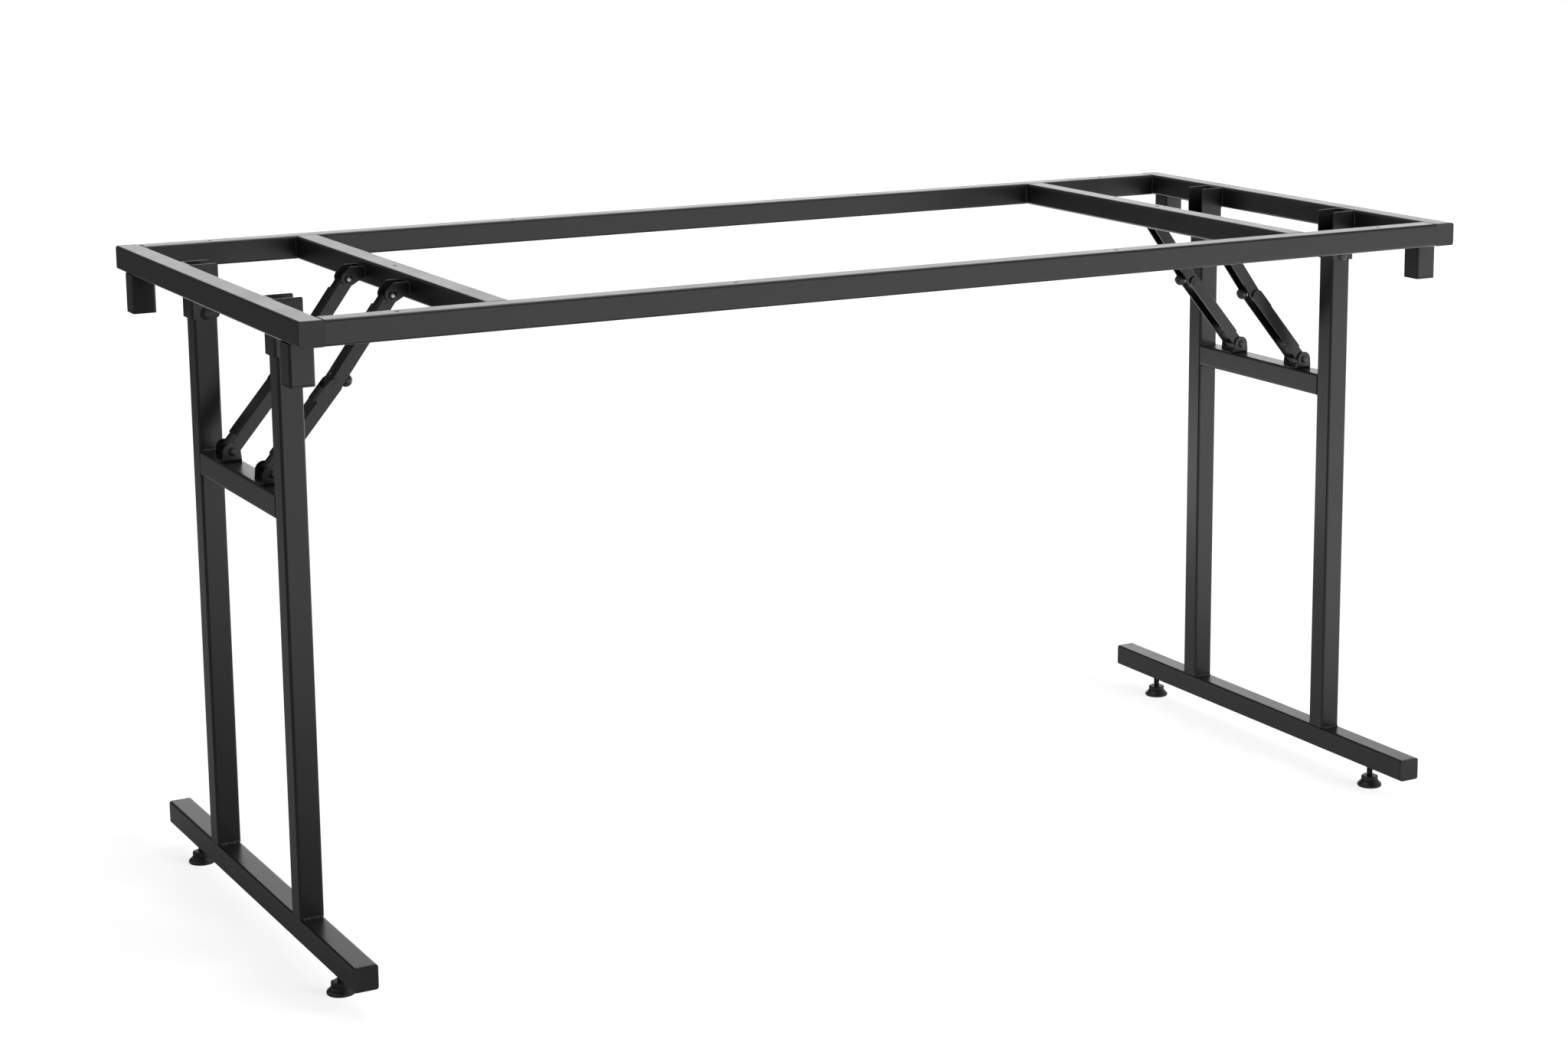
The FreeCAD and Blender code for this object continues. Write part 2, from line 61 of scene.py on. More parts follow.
def linear(code):
    """An sRGB hex colour as linear red, green, blue and alpha."""
    shares = [int(code[at:at + 2], 16) / 255 for at in (1, 3, 5)]
    return [s / 12.92 if s <= 0.04045 else ((s + 0.055) / 1.055) ** 2.4 for s in shares] + [1.0]


def add_node(tree, kind, settings=None, values=None, links=None):
    """Add a shader node, with its settings, the values of its sockets and the links into them."""
    node = tree.nodes.new(kind)
    for name, value in (settings or {}).items():
        setattr(node, name, value)
    for socket, value in (values or {}).items():
        node.inputs[socket].default_value = value
    for socket, source in (links or {}).items():
        tree.links.new(source, node.inputs[socket])
    return node


def new_material(name):
    """An empty material, its node tree, and the Object coordinates that its patterns read."""
    material = bpy.data.materials.new(name)
    material.use_nodes = True
    tree = material.node_tree
    tree.nodes.clear()
    place = add_node(tree, "ShaderNodeTexCoord").outputs["Object"]
    return material, tree, place


# Polyester powder coat on steel, sprayed and stoved: black with a satin gloss. The eye sees a faint orange
# peel, about 2.5 mm from crest to crest, and slow changes of tone and gloss from dust and handling.
PEEL_WIDTH, CLOUD_WIDTH = 2.5, 70
coat, tree, place = new_material("powder_coat_satin_black")
peel = add_node(tree, "ShaderNodeTexNoise", values={"Scale": 1 / (PEEL_WIDTH * MM), "Detail": 2.0},
                links={"Vector": place})
cloud = add_node(tree, "ShaderNodeTexNoise", values={"Scale": 1 / (CLOUD_WIDTH * MM), "Detail": 3.0},
                 links={"Vector": place})
tone = add_node(tree, "ShaderNodeValToRGB", links={"Fac": cloud.outputs["Fac"]})
tone.color_ramp.elements[0].position = 0.3
tone.color_ramp.elements[0].color = linear("#171718")
tone.color_ramp.elements[1].position = 0.7
tone.color_ramp.elements[1].color = linear("#1e1e20")
gloss = add_node(tree, "ShaderNodeMapRange", values={"To Min": 0.28, "To Max": 0.36},
                 links={"Value": cloud.outputs["Fac"]})
relief = add_node(tree, "ShaderNodeBump", values={"Strength": 0.12, "Distance": 0.1 * MM},
                  links={"Height": peel.outputs["Fac"]})
shader = add_node(tree, "ShaderNodeBsdfPrincipled", values={"IOR": 1.5},
                  links={"Base Color": tone.outputs["Color"], "Roughness": gloss.outputs["Result"],
                         "Normal": relief.outputs["Normal"]})
add_node(tree, "ShaderNodeOutputMaterial", links={"Surface": shader.outputs["BSDF"]})


def finish_node(name, material):
    """Give a CAD solid that stays in view its finish."""
    for slot in nodes[name].material_slots:
        slot.material = material


for rail in ("front", "rear", "left_end", "right_end", "left_cross", "right_cross"):
    finish_node(f"{rail}_rail", coat)

# Frame welds: short runs of ripple bead in the inside corners of the rails and under the end rails,
# beside the corner stubs. Each is laid by hand after the tubes are clamped, then coated with the rest.
SAME_POINT = 0.005


def take(piece):
    """Select one piece alone, and make it active."""
    bpy.ops.object.select_all(action="DESELECT")
    piece.select_set(True)
    bpy.context.view_layer.objects.active = piece


def edit():
    """Go into edit mode with the active piece."""
    bpy.ops.object.mode_set(mode="EDIT")


def done():
    """Go back to object mode."""
    bpy.ops.object.mode_set(mode="OBJECT")


def trace(name, outline):
    """Start a piece in edit mode: an outline of (radius, height) points, drawn by extruding a point."""
    bpy.ops.object.select_all(action="DESELECT")
    bpy.ops.mesh.primitive_plane_add(size=MM)
    piece = bpy.context.object
    piece.name = name
    edit()
    bpy.ops.mesh.select_mode(type="VERT")
    bpy.ops.mesh.select_all(action="SELECT")
    bpy.ops.mesh.merge(type="CENTER")
    bpy.ops.transform.translate(value=(outline[0][0] * MM, 0, outline[0][1] * MM))
    for (radius, height), (next_radius, next_height) in zip(outline, outline[1:]):
        step = ((next_radius - radius) * MM, 0, (next_height - height) * MM)
        bpy.ops.mesh.extrude_vertices_move(TRANSFORM_OT_translate={"value": step})
    return piece


def lathe(name, profile, steps):
    """Spin a profile of (radius, height) points about the upright axis into a closed solid."""
    piece = trace(name, profile)
    bpy.ops.mesh.select_all(action="SELECT")
    bpy.ops.mesh.spin(steps=steps, angle=2 * math.pi, center=(0, 0, 0), axis=(0, 0, 1))
    bpy.ops.mesh.select_all(action="SELECT")
    bpy.ops.mesh.remove_doubles(threshold=SAME_POINT * MM)
    bpy.ops.mesh.normals_make_consistent(inside=False)
    done()
    return piece


def settle(piece, turn, place):
    """Turn a piece about the origin, move it to its place, and keep both in its mesh."""
    take(piece)
    piece.matrix_world = Matrix.Translation(Vector(place) * MM) @ turn.to_4x4()
    bpy.ops.object.transform_apply()
    return piece


def smooth(piece, angle):
    """Shade a piece smooth, apart from edges that turn by more than an angle in degrees."""
    take(piece)
    bpy.ops.object.shade_smooth_by_angle(angle=math.radians(angle))
    return piece


def weld(start, end, radius):
    """A bead of overlapping ripples from one point to another."""
    usual_pitch, unevenness, sides = 3.2, 0.08, 12
    ripple_outline = ((0.2, 0.96), (0.5, 1.0), (0.8, 0.96), (0.98, 0.88))
    along = Vector(end) - Vector(start)
    ripples = max(2, round(along.length / usual_pitch))
    pitch = along.length / ripples
    profile = [(0, 0), (0.55 * radius, 0.05 * pitch)]
    for ripple in range(ripples):
        swell = 1.0 + unevenness * math.sin(2.1 * ripple + start[0])
        for share, size in ripple_outline:
            profile.append((radius * size * swell, (ripple + share) * pitch))
    profile += [(0.5 * radius, along.length), (0, along.length + 0.1 * pitch)]
    bead = lathe("bead", profile, sides)
    return smooth(settle(bead, along.to_track_quat("Z", "Y").to_matrix(), start), 60)


def join(name, pieces):
    """Make one object of several that are fixed together."""
    take(pieces[0])
    for piece in pieces:
        piece.select_set(True)
    if len(pieces) > 1:
        bpy.ops.object.join()
    pieces[0].name = name
    return pieces[0]


def dress(piece, *materials):
    """Give a piece its materials, in the order of its slots."""
    piece.data.materials.clear()
    for material in materials:
        piece.data.materials.append(material)
    return piece


def copy_of(piece, name):
    """A copy of a piece with its own mesh."""
    take(piece)
    bpy.ops.object.duplicate()
    copy = bpy.context.object
    copy.name = name
    return copy


def image(piece, name, across_x, across_y):
    """A copy of a piece, mirrored to another quarter of the table."""
    copy = copy_of(piece, name)
    copy.scale = (-1 if across_x else 1, -1 if across_y else 1, 1)
    bpy.ops.object.transform_apply()
    edit()
    bpy.ops.mesh.select_all(action="SELECT")
    bpy.ops.mesh.normals_make_consistent(inside=False)
    done()
    return copy


def modify(piece, kind, **settings):
    """Add a modifier with its settings, and apply it."""
    take(piece)
    modifier = piece.modifiers.new(kind, kind)
    for name, value in settings.items():
        setattr(modifier, name, value)
    bpy.ops.object.modifier_apply(modifier=modifier.name)


def true_flats(piece):
    """Shade each flat by its own normal, so that only the rounded edges beside it turn."""
    modify(piece, "WEIGHTED_NORMAL", keep_sharp=True)
    return piece


CORNERS = {"left_front": (False, False), "left_rear": (False, True),
           "right_front": (True, False), "right_rear": (True, True)}


def four_quarters(piece, name, body, replaced=None):
    """Put a left front piece and its images on their bodies, with {corner} and {side} filled in for each."""
    pieces = {"left_front": piece}
    for corner, (across_x, across_y) in CORNERS.items():
        if corner != "left_front":
            pieces[corner] = image(piece, name, across_x, across_y)
    for corner, one in pieces.items():
        side = corner.split("_")[0]
        one.name = f"{corner}_{name}"
        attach(true_flats(one), body.format(corner=corner, side=side))
        if replaced:
            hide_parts(replaced.format(corner=corner, side=side))


def corners_of(node):
    """The lowest and highest corners of a CAD node, in millimetres."""
    return [Vector([round(c / MM, 3) for c in corner]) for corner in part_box(node)]


RAIL_LOW, RAIL_HIGH = corners_of("left_end_rail")
CROSS_LOW, CROSS_HIGH = corners_of("left_cross_rail")
STUB_LOW, STUB_HIGH = corners_of("left_front_stub")
CORNER_BEAD, STUB_BEAD = 1.7, 1.6
frame_beads = []
for corner_x in (RAIL_HIGH.x, CROSS_LOW.x, CROSS_HIGH.x):
    frame_beads.append(weld((corner_x, CROSS_LOW.y, RAIL_LOW.z + 2),
                            (corner_x, CROSS_LOW.y, RAIL_HIGH.z - 2.5), CORNER_BEAD))
for stub_y in (STUB_LOW.y, STUB_HIGH.y):
    frame_beads.append(weld((STUB_LOW.x + 3, stub_y, STUB_HIGH.z),
                            (STUB_HIGH.x - 3, stub_y, STUB_HIGH.z), STUB_BEAD))
frame_welds = dress(join("frame_welds", frame_beads), coat)
four_quarters(frame_welds, "frame_welds", "top_frame")

# Rail end caps: square plugs of black polyethylene, pressed into the ends of the end rails.
# The flange covers the tube's edge and has a softly rounded rim; a hairline shows where it meets the tube.


def block(name, low, high):
    """A block between two corners, with its place in its mesh."""
    bpy.ops.object.select_all(action="DESELECT")
    bpy.ops.mesh.primitive_cube_add(size=1, location=[(a + b) / 2 * MM for a, b in zip(low, high)])
    piece = bpy.context.object
    piece.name = name
    piece.scale = [(b - a) * MM for a, b in zip(low, high)]
    bpy.ops.object.transform_apply()
    return piece


def choose(kind, test):
    """Select the vertices, edges or faces whose middle, in mm, and direction or normal pass a test."""
    bpy.ops.mesh.select_mode(type=kind)
    bpy.ops.mesh.select_all(action="DESELECT")
    mesh = bmesh.from_edit_mesh(bpy.context.edit_object.data)
    mesh.normal_update()
    for part in {"VERT": mesh.verts, "EDGE": mesh.edges, "FACE": mesh.faces}[kind]:
        corners = [part] if kind == "VERT" else list(part.verts)
        middle = sum((c.co for c in corners), Vector()) / len(corners) / MM
        if kind == "EDGE":
            direction = (corners[1].co - corners[0].co).normalized()
        else:
            direction = part.normal
        part.select_set(bool(test(middle, direction)))
    mesh.select_flush_mode()
    bmesh.update_edit_mesh(bpy.context.edit_object.data)


def round_edges(radius, segments, test):
    """Round the edges whose middle and direction pass a test."""
    choose("EDGE", test)
    bpy.ops.mesh.bevel(offset=radius * MM, segments=segments, affect="EDGES")


def break_edges(piece, width, segments, angle):
    """Bevel all edges that turn by more than an angle, and merge points that this leaves together."""
    modify(piece, "BEVEL", width=width * MM, segments=segments, limit_method="ANGLE",
           angle_limit=math.radians(angle))
    edit()
    bpy.ops.mesh.select_all(action="SELECT")
    bpy.ops.mesh.remove_doubles(threshold=SAME_POINT * MM)
    bpy.ops.mesh.dissolve_degenerate(threshold=SAME_POINT * MM)
    done()


# Polyethylene, injection moulded in a lightly eroded tool: a greyer, duller black than the coat.
# The eye sees a fine even grain, drawn at 0.8 mm so that it shows.
GRAIN_WIDTH, PATCH_WIDTH = 0.8, 12
plastic, tree, place = new_material("polyethylene_moulded_black")
grain = add_node(tree, "ShaderNodeTexNoise", values={"Scale": 1 / (GRAIN_WIDTH * MM), "Detail": 1.0},
                 links={"Vector": place})
patch = add_node(tree, "ShaderNodeTexNoise", values={"Scale": 1 / (PATCH_WIDTH * MM), "Detail": 2.0},
                 links={"Vector": place})
tone = add_node(tree, "ShaderNodeValToRGB", links={"Fac": patch.outputs["Fac"]})
tone.color_ramp.elements[0].position = 0.3
tone.color_ramp.elements[0].color = linear("#1b1b1c")
tone.color_ramp.elements[1].position = 0.7
tone.color_ramp.elements[1].color = linear("#232324")
gloss = add_node(tree, "ShaderNodeMapRange", values={"To Min": 0.38, "To Max": 0.5},
                 links={"Value": grain.outputs["Fac"]})
relief = add_node(tree, "ShaderNodeBump", values={"Strength": 0.15, "Distance": 0.05 * MM},
                  links={"Height": grain.outputs["Fac"]})
shader = add_node(tree, "ShaderNodeBsdfPrincipled", values={"IOR": 1.51},
                  links={"Base Color": tone.outputs["Color"], "Roughness": gloss.outputs["Result"],
                         "Normal": relief.outputs["Normal"]})
add_node(tree, "ShaderNodeOutputMaterial", links={"Surface": shader.outputs["BSDF"]})


def tube_cap(name, turn, place):
    """A cap made with its flange facing up, then turned to face out of its tube."""
    half, corner, flange, rim = 14, 3, 2.5, 0.6
    seam, seam_inset = 0.35, 0.8
    plug, plug_inset = 12.3, 1.1
    cap = block(name, (-half, -half, seam), (half, half, flange))
    edit()
    round_edges(corner, 5, lambda middle, way: abs(way.z) > 0.9)
    choose("FACE", lambda middle, way: way.z < -0.9)
    bpy.ops.mesh.inset(thickness=seam_inset * MM)
    bpy.ops.mesh.extrude_region_move(TRANSFORM_OT_translate={"value": (0, 0, -seam * MM)})
    bpy.ops.mesh.inset(thickness=plug_inset * MM)
    bpy.ops.mesh.extrude_region_move(TRANSFORM_OT_translate={"value": (0, 0, -(plug - seam) * MM)})
    done()
    break_edges(cap, rim, 3, 60)
    return dress(smooth(settle(cap, turn, place), 40), plastic)


def four_in_one(piece, name):
    """One object of a left front piece and its three images."""
    others = [image(piece, name, x, y) for x, y in CORNERS.values() if x or y]
    return true_flats(join(name, [piece] + others))


FACE_FRONT = Matrix.Rotation(math.radians(90), 3, "X")
rail_middle = (RAIL_LOW + RAIL_HIGH) / 2
rail_end = (rail_middle.x, RAIL_LOW.y, rail_middle.z)
rail_caps = four_in_one(tube_cap("rail_cap", FACE_FRONT, rail_end), "moulded_rail_caps")
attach(rail_caps, "top_frame")
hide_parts("rail_end_caps")

# Corner stubs: short lengths of the same tube welded under the end rails, on which a stacked table rests.
# A polyethylene cap closes each one below.
FACE_DOWN = Matrix.Rotation(math.radians(180), 3, "X")
for corner in CORNERS:
    finish_node(f"{corner}_stub", coat)
stub_middle = (STUB_LOW + STUB_HIGH) / 2
stub_end = (stub_middle.x, stub_middle.y, STUB_LOW.z)
stub_caps = four_in_one(tube_cap("stub_cap", FACE_DOWN, stub_end), "moulded_stub_caps")
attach(stub_caps, "top_frame")
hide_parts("stub_caps")

# Leg brackets: channels folded from 2 mm steel sheet, the web welded to the end rail.
# Their cheeks hold the top of the upright between them.
SHEET, SHEARED_EDGE = 2, 0.35


def cut_away(test):
    """Delete the faces whose middle and normal pass a test."""
    choose("FACE", test)
    bpy.ops.mesh.delete(type="FACE")


def sheet_metal(piece):
    """Give a folded outline the sheet's thickness, inwards, break its sheared edges, and coat it."""
    modify(piece, "SOLIDIFY", thickness=SHEET * MM, offset=-1, use_even_offset=True)
    break_edges(piece, SHEARED_EDGE, 2, 50)
    return dress(smooth(piece, 40), coat)


CHEEK_LOW, CHEEK_HIGH = corners_of("left_front_leg_bracket")
CHEEK_FOLD, CHEEK_FOOT, CHEEK_TOP = 3, 5, 2
leg_bracket = block("leg_bracket", CHEEK_LOW, CHEEK_HIGH)
edit()
cut_away(lambda middle, way: way.x > 0.9 or abs(way.z) > 0.9)
round_edges(CHEEK_FOLD, 4, lambda middle, way: abs(way.z) > 0.9 and middle.x < CHEEK_LOW.x + 1)
choose("VERT", lambda middle, way: middle.x > CHEEK_HIGH.x - 0.5 and middle.z < CHEEK_LOW.z + 1)
bpy.ops.mesh.bevel(offset=CHEEK_FOOT * MM, segments=5, affect="VERTICES")
choose("VERT", lambda middle, way: middle.x > CHEEK_HIGH.x - 0.5 and middle.z > CHEEK_HIGH.z - 1)
bpy.ops.mesh.bevel(offset=CHEEK_TOP * MM, segments=3, affect="VERTICES")
done()
four_quarters(sheet_metal(leg_bracket), "folded_leg_bracket", "top_frame",
              "{corner}_leg_bracket")

SIDE_BEAD, UNDER_BEAD = 1.7, 1.9
bracket_beads = []
for cheek_y in (CHEEK_LOW.y, CHEEK_HIGH.y):
    bracket_beads.append(weld((CHEEK_LOW.x - 0.3, cheek_y, RAIL_LOW.z + 2),
                              (CHEEK_LOW.x - 0.3, cheek_y, CHEEK_HIGH.z - 1), SIDE_BEAD))
bracket_beads.append(weld((CHEEK_LOW.x, CHEEK_LOW.y + 3.5, RAIL_LOW.z - 0.2),
                          (CHEEK_LOW.x, CHEEK_HIGH.y - 3.5, RAIL_LOW.z - 0.2), UNDER_BEAD))
four_quarters(dress(join("bracket_welds", bracket_beads), coat), "bracket_welds", "top_frame")

# Leg pivots: solid steel rivets, 8 mm thick, through both cheeks of a bracket and the upright.
# Their heads are pressed to low domes and coated with the frame.
PIVOT_R, PIVOT_HEAD_R, PIVOT_HEAD = 4, 7, 2.6


def rivet_head(radius, height):
    """The outline of a domed head above its seat, from the top of the dome to the rim."""
    rim = 0.3
    outline = [(0, height)]
    for turn in range(1, 8):
        angle = math.radians(turn * 12)
        outline.append((radius * math.sin(angle) ** 0.9, rim + (height - rim) * math.cos(angle)))
    return outline + [(radius, 0.25), (radius, 0)]


def rivet(name, radius, width, head_radius, head_height, place):
    """A rivet along Y with a domed head at each end, centred on its place."""
    half = width / 2
    profile = [(r, half + h) for r, h in rivet_head(head_radius, head_height)] + [(radius, half)]
    profile += [(r, -h) for r, h in reversed(profile)]
    return smooth(settle(lathe(name, profile, 32), FACE_FRONT, place), 40)


def joint_place(name):
    """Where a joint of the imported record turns, in millimetres."""
    joint = next(one for one in frame["joints"] if one["name"] == name)
    return Vector([round(c / MM, 3) for c in joint["pos_m"]])


leg_fold = joint_place("left_leg_fold")
pivot_place = (leg_fold.x, (CHEEK_LOW.y + CHEEK_HIGH.y) / 2, leg_fold.z)
pivots = rivet("pivot", PIVOT_R, CHEEK_HIGH.y - CHEEK_LOW.y, PIVOT_HEAD_R, PIVOT_HEAD, pivot_place)
pivots = four_in_one(dress(pivots, coat), "domed_leg_pivots")
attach(pivots, "top_frame")
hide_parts("leg_pivot_rivets")

# Legs: two uprights on a foot bar, with a crossbar between them, all of the same tube.
# They are welded to one flat frame and coated; the beads show at the crossbar and on the foot bar.
for side in ("left", "right"):
    finish_node(f"{side}_leg_crossbar", coat)
    finish_node(f"{side}_foot_bar", coat)
for corner in CORNERS:
    finish_node(f"{corner}_upright", coat)

UPRIGHT_LOW, UPRIGHT_HIGH = corners_of("left_front_upright")
CROSSBAR_LOW, CROSSBAR_HIGH = corners_of("left_leg_crossbar")
FOOT_BEAD, CROSSBAR_BEAD = 3.2, 2.6
bead_from, bead_to = UPRIGHT_LOW.x + 2.5, UPRIGHT_HIGH.x - 2.5
leg_beads = []
for bead_y in (UPRIGHT_LOW.y, UPRIGHT_HIGH.y):
    leg_beads.append(weld((bead_from, bead_y, UPRIGHT_LOW.z), (bead_to, bead_y, UPRIGHT_LOW.z), FOOT_BEAD))
for bead_z in (CROSSBAR_HIGH.z, CROSSBAR_LOW.z):
    leg_beads.append(weld((bead_from, CROSSBAR_LOW.y, bead_z), (bead_to, CROSSBAR_LOW.y, bead_z),
                          CROSSBAR_BEAD))
four_quarters(dress(join("leg_welds", leg_beads), coat), "leg_welds", "{side}_leg")

# Foot bar caps: the same moulded polyethylene plugs, pressed into both ends of each foot bar.
# Their flanges are as wide as the tube and carry on its sides.


def pair_on_each_leg(piece, name, replaced, flat_faced):
    """Make a pair of images of a left front piece for each leg, and drop the piece itself."""
    for side, across in (("left", False), ("right", True)):
        images = [image(piece, f"{name}_image", across, rear) for rear in (False, True)]
        pair = join(f"{side}_{name}", images)
        if flat_faced:
            true_flats(pair)
        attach(pair, f"{side}_leg")
        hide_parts(f"{side}_{replaced}")
    bpy.data.objects.remove(piece)


FOOT_BAR_LOW, FOOT_BAR_HIGH = corners_of("left_foot_bar")
foot_bar_middle = (FOOT_BAR_LOW + FOOT_BAR_HIGH) / 2
foot_cap = tube_cap("foot_cap", FACE_FRONT, (foot_bar_middle.x, FOOT_BAR_LOW.y, foot_bar_middle.z))
pair_on_each_leg(foot_cap, "moulded_foot_caps", "foot_bar_caps", flat_faced=True)

# Levelling feet: a moulded polyamide base with a grip collar on an M8 stud that screws into the foot bar.
# The collar has six lobes for the fingers, and the base a rounded rim with shallow ribs.
base_profile = [(0, 0.4), (13.2, 0.4), (14.2, 0), (15.2, 0.25), (15.85, 1.0), (16, 2.0), (15.8, 3.1),
                (15.1, 4.1), (13.9, 5.2), (12.4, 6.6), (11.6, 7.6), (11.2, 8.3), (0, 8.3)]
base = lathe("foot_base", base_profile, 48)

RIBS, RIB_HALF = 12, 0.7
RIB_IN, RIB_OUT = 10.2, 15.6
RIB_LOW, RIB_HIGH = 2.2, 6.2
rib = block("rib", (RIB_IN, -RIB_HALF, RIB_LOW), (RIB_OUT, RIB_HALF, RIB_HIGH))
edit()
choose("VERT", lambda middle, way: middle.z > RIB_HIGH - 0.2 and middle.x > RIB_OUT - 0.6)
bpy.ops.transform.translate(value=(-1.4 * MM, 0, -2.4 * MM))
round_edges(0.5, 2, lambda middle, way: middle.z > RIB_LOW + 1.3 and abs(way.y) < 0.1)
done()
ribs = [rib]
for turn in range(1, RIBS):
    around = Matrix.Rotation(math.radians(turn * 360 / RIBS), 3, "Z")
    ribs.append(settle(copy_of(rib, "rib"), around, (0, 0, 0)))

COLLAR_R, COLLAR_HEIGHT, COLLAR_Z, LOBE = 9.9, 6.4, 11.1, 1.1


def on_lobe(middle, way):
    """Whether a corner of the collar is on a lobe: of each six corners, 10 degrees apart, three are."""
    step = round(math.degrees(math.atan2(middle.y, middle.x)) / 10)
    return step % 6 in (2, 3, 4)


bpy.ops.object.select_all(action="DESELECT")
bpy.ops.mesh.primitive_cylinder_add(vertices=36, radius=COLLAR_R * MM, depth=COLLAR_HEIGHT * MM,
                                    location=(0, 0, COLLAR_Z * MM))
collar = bpy.context.object
bpy.ops.object.transform_apply()
edit()
choose("VERT", on_lobe)
bpy.ops.transform.resize(value=(LOBE, LOBE, 1), center_override=(0, 0, COLLAR_Z * MM))
round_edges(1.1, 3, lambda middle, way: abs(way.z) < 0.1 and math.hypot(middle.x, middle.y) > 8)
done()
foot_body = smooth(join("foot_body", [base, collar] + ribs), 40)

# One turn of the thread's outline is drawn and wound up, and each end is closed with a low cone.
PITCH, TURNS, STUD_LOW, STUD_TIP = 1.25, 22, 13.9, 1
THREAD_ROOT, THREAD_CREST = 3.35, 3.97
THREAD_FLANK, THREAD_FLAT, THREAD_GAP = 0.36 * PITCH, 0.14 * PITCH, 0.01
STUD_HIGH = STUD_LOW + (TURNS + 1) * PITCH
crest_low = STUD_LOW + THREAD_FLANK
crest_high = crest_low + THREAD_FLAT
thread = [(THREAD_ROOT, STUD_LOW), (THREAD_CREST, crest_low), (THREAD_CREST, crest_high),
          (THREAD_ROOT, crest_high + THREAD_FLANK), (THREAD_ROOT, STUD_LOW + PITCH)]
stud = trace("stud", thread)
done()
modify(stud, "SCREW", axis="Z", angle=2 * math.pi, screw_offset=PITCH * MM, iterations=TURNS, steps=20,
       render_steps=20, use_merge_vertices=True, merge_threshold=THREAD_GAP * MM)
edit()
bpy.ops.mesh.select_all(action="SELECT")
bpy.ops.mesh.remove_doubles(threshold=THREAD_GAP * MM)
bpy.ops.mesh.select_all(action="DESELECT")
bpy.ops.mesh.select_non_manifold()
bpy.ops.mesh.fill_holes(sides=0)
for tip_z in (STUD_LOW - STUD_TIP, STUD_HIGH + STUD_TIP):
    choose("FACE", lambda middle, way: math.hypot(middle.x, middle.y) < 2 and abs(middle.z - tip_z) < 3)
    bpy.ops.mesh.extrude_region_move()
    bpy.ops.transform.resize(value=(0, 0, 0), center_override=(0, 0, tip_z * MM))
bpy.ops.mesh.select_all(action="SELECT")
bpy.ops.mesh.remove_doubles(threshold=THREAD_GAP * MM)
bpy.ops.mesh.normals_make_consistent(inside=False)
done()
smooth(stud, 40)

# Polyamide, moulded: black with a soft sheen, dusty in patches about 5 mm wide.
DUST_WIDTH = 5
polyamide, tree, place = new_material("polyamide_moulded_black")
dust = add_node(tree, "ShaderNodeTexNoise", values={"Scale": 1 / (DUST_WIDTH * MM), "Detail": 4.0},
                links={"Vector": place})
tone = add_node(tree, "ShaderNodeValToRGB", links={"Fac": dust.outputs["Fac"]})
tone.color_ramp.elements[0].position = 0.35
tone.color_ramp.elements[0].color = linear("#19191a")
tone.color_ramp.elements[1].position = 0.75
tone.color_ramp.elements[1].color = linear("#2a2a2b")
gloss = add_node(tree, "ShaderNodeMapRange", values={"To Min": 0.32, "To Max": 0.55},
                 links={"Value": dust.outputs["Fac"]})
relief = add_node(tree, "ShaderNodeBump", values={"Strength": 0.2, "Distance": 0.06 * MM},
                  links={"Height": dust.outputs["Fac"]})
shader = add_node(tree, "ShaderNodeBsdfPrincipled", values={"IOR": 1.53},
                  links={"Base Color": tone.outputs["Color"], "Roughness": gloss.outputs["Result"],
                         "Normal": relief.outputs["Normal"]})
add_node(tree, "ShaderNodeOutputMaterial", links={"Surface": shader.outputs["BSDF"]})

# Steel, thread rolled and blackened in oil: a dark metal whose film changes tone every 3 mm or so.
FILM_WIDTH = 3
blackened, tree, place = new_material("steel_thread_rolled_blackened")
film = add_node(tree, "ShaderNodeTexNoise", values={"Scale": 1 / (FILM_WIDTH * MM), "Detail": 3.0},
                links={"Vector": place})
tone = add_node(tree, "ShaderNodeValToRGB", links={"Fac": film.outputs["Fac"]})
tone.color_ramp.elements[0].position = 0.3
tone.color_ramp.elements[0].color = linear("#3a3a3d")
tone.color_ramp.elements[1].position = 0.75
tone.color_ramp.elements[1].color = linear("#5a5a5c")
gloss = add_node(tree, "ShaderNodeMapRange", values={"To Min": 0.35, "To Max": 0.5},
                 links={"Value": film.outputs["Fac"]})
shader = add_node(tree, "ShaderNodeBsdfPrincipled", values={"Metallic": 1.0},
                  links={"Base Color": tone.outputs["Color"], "Roughness": gloss.outputs["Result"]})
add_node(tree, "ShaderNodeOutputMaterial", links={"Surface": shader.outputs["BSDF"]})

NO_TURN = Matrix.Identity(3)
foot_low, foot_high = corners_of("left_front_levelling_foot")
foot_place = (foot_bar_middle.x, (foot_low.y + foot_high.y) / 2, 0)
settle(dress(foot_body, polyamide), NO_TURN, foot_place)
settle(dress(stud, blackened), NO_TURN, foot_place)
four_quarters(foot_body, "moulded_foot", "{corner}_foot", "{corner}_levelling_foot")
four_quarters(stud, "foot_stud", "{corner}_foot")

# Stay upper brackets: small folded channels welded to the cross rails, a drooping ear each side of the stay.
# The pin through the ears is a rivet whose end is left bare and bright, and a thick bead holds each ear.
UPPER_PIN = joint_place("left_front_stay_upper_turn")
UPPER_EAR, UPPER_EAR_R, UPPER_RISE = 12.8, 8.5, 14
BRACKET_FOLD = 2.5


def close_rounds():
    """Merge the points where two full rounds meet."""
    bpy.ops.mesh.select_all(action="SELECT")
    bpy.ops.mesh.remove_doubles(threshold=0.1 * MM)


upper_bracket = block("upper_bracket",
                      UPPER_PIN - Vector((UPPER_EAR_R, UPPER_EAR, UPPER_EAR_R)),
                      (CROSS_LOW.x, UPPER_PIN.y + UPPER_EAR, UPPER_PIN.z + UPPER_RISE))
edit()
